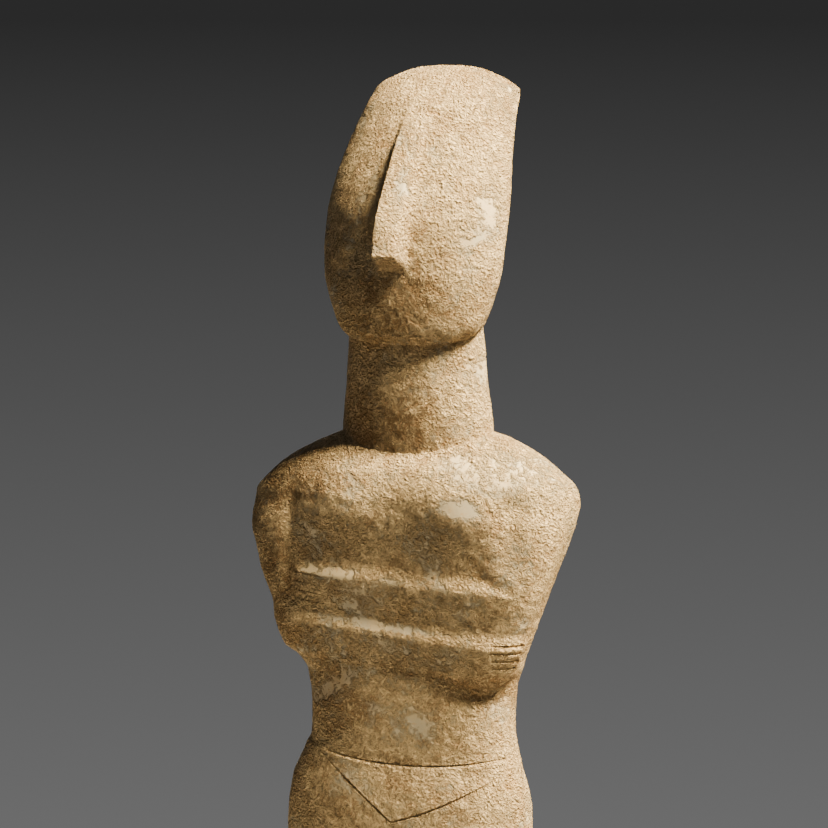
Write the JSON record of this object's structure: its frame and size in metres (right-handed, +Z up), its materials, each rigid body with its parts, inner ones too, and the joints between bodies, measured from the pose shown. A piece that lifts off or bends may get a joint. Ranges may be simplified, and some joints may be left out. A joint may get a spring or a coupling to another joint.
{
  "type": "cycladic figurine",
  "caption": "Standing marble figure with folded arms, a shield-shaped tilted-back head with only a nose, and tapering legs set in a low stone base.",
  "frame": {"origin": "centre of the base's underside, on the surface that it stands on", "axes": "+Z up from the base to the crown of the head; the figure looks along -Y; +X is the figure's own left"},
  "size_m": [0.18, 0.132, 0.6497],
  "materials": {
    "marble": "weathered white marble under a warm tan grainy crust, matt, with pale worn patches and brown deposits in the creases",
    "base_stone": "honed grey limestone, matt"
  },
  "bodies": {
    "root": {"figurine": "marble", "base": "base_stone"}
  },
  "joints": []
}
